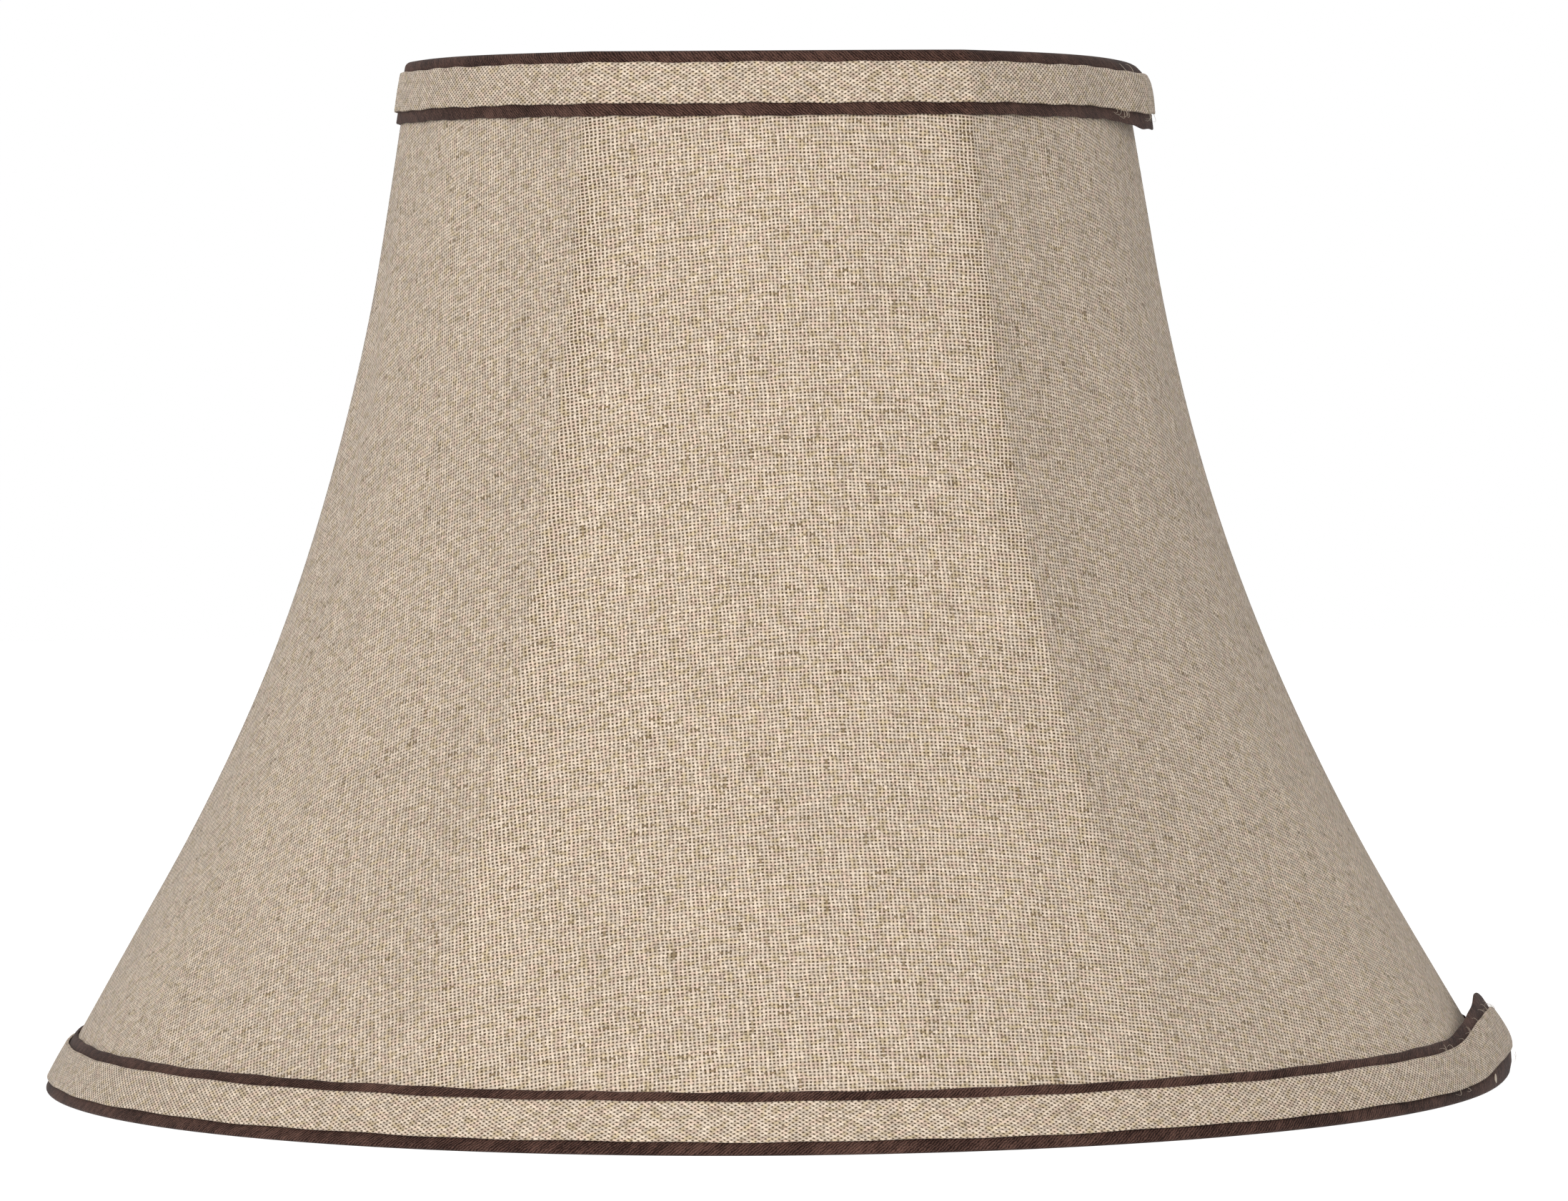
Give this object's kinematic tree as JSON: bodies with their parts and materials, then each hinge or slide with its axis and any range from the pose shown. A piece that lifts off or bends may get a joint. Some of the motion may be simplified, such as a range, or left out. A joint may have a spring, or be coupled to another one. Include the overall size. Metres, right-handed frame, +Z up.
{
  "type": "lamp shade",
  "caption": "Bell lamp shade of natural linen-look cloth on a six-rib wire frame, lined, with brown and linen tape on both edges and a washer fitter.",
  "frame": {"origin": "on the shade's axis, in the plane of its bottom edge", "axes": "+Z up along the axis. -Y is the middle of the front panel. The ribs stand at 0, 60, 120, 180, 240 and 300 degrees from +X, and both trims are joined at +X"},
  "size_m": [0.4624, 0.4602, 0.3205],
  "materials": {
    "ring_steel": "plain drawn steel wire, dull",
    "rib_steel": "plain drawn steel wire, dull",
    "fitter_brass": "brass-plated wire and washer, satin",
    "linen": "natural linen-look plain weave with slubs and darker flecks",
    "lining_cloth": "off-white smooth lining cloth",
    "brown_tape": "dark brown fine twill tape",
    "linen_tape": "natural linen-look tape with small scalloped edges"
  },
  "bodies": {
    "root": {"top_ring": "ring_steel", "bottom_ring": "ring_steel", "rib_1": "rib_steel", "rib_2": "rib_steel", "rib_3": "rib_steel", "rib_4": "rib_steel", "rib_5": "rib_steel", "rib_6": "rib_steel", "spider_arm_1": "fitter_brass", "spider_arm_2": "fitter_brass", "spider_arm_3": "fitter_brass", "spider_washer": "fitter_brass", "front_cover": "linen", "back_cover": "linen", "front_lining": "lining_cloth", "back_lining": "lining_cloth", "top_trim_tape": "brown_tape", "bottom_trim_tape": "brown_tape", "top_trim_band": "linen_tape", "bottom_trim_band": "linen_tape"}
  },
  "joints": []
}
